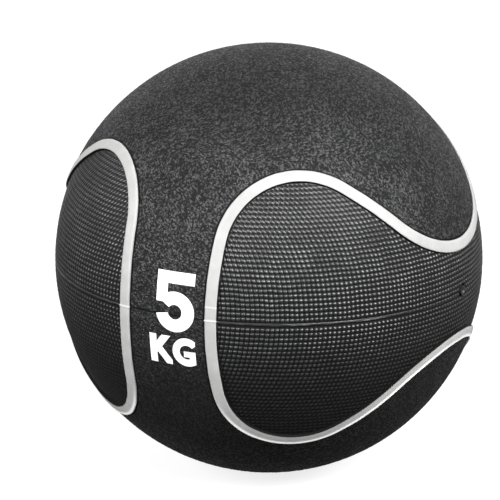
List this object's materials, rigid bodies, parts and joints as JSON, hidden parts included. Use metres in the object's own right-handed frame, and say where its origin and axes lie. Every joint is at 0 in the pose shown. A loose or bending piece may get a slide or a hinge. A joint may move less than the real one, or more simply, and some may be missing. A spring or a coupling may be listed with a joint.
{
  "type": "medicine ball",
  "caption": "Round rubber medicine ball with smooth covers, two waisted grip panels outlined by raised light stripes, a weight mark and a needle valve.",
  "frame": {"origin": "centre of the ball", "axes": "+Z to the upper pole with the mould parting line in the XY plane, -Y through the smooth strip with the weight mark, +X out of the needle valve in the middle of the right grip panel"},
  "size_m": [0.229, 0.2301, 0.23],
  "materials": {
    "cover_rubber": "fine pebble grain, satin",
    "grip_rubber": "moulded grid of small pips, satin",
    "stripe_rubber": "light, matt, slightly marked",
    "mark_print": "flat white print",
    "weight_rubber": "dense, dull",
    "bladder_rubber": "smooth butyl",
    "winding_thread": "wound nylon thread in latex",
    "patch_fabric": "rubbered canvas",
    "valve_rubber": "smooth",
    "plug_rubber": "soft natural rubber"
  },
  "bodies": {
    "root": {"air_bladder": "bladder_rubber", "valve_body": "valve_rubber", "valve_core": "plug_rubber", "valve_patch": "patch_fabric", "thread_winding": "winding_thread", "weight_shell_upper": "weight_rubber", "weight_shell_lower": "weight_rubber", "cover_upper": "cover_rubber", "cover_lower": "cover_rubber", "grip_right_upper": "grip_rubber", "grip_right_lower": "grip_rubber", "grip_left_upper": "grip_rubber", "grip_left_lower": "grip_rubber", "stripe_right": "stripe_rubber", "stripe_left": "stripe_rubber", "weight_digit": "mark_print", "weight_letter_k": "mark_print", "weight_letter_g": "mark_print"}
  },
  "joints": []
}
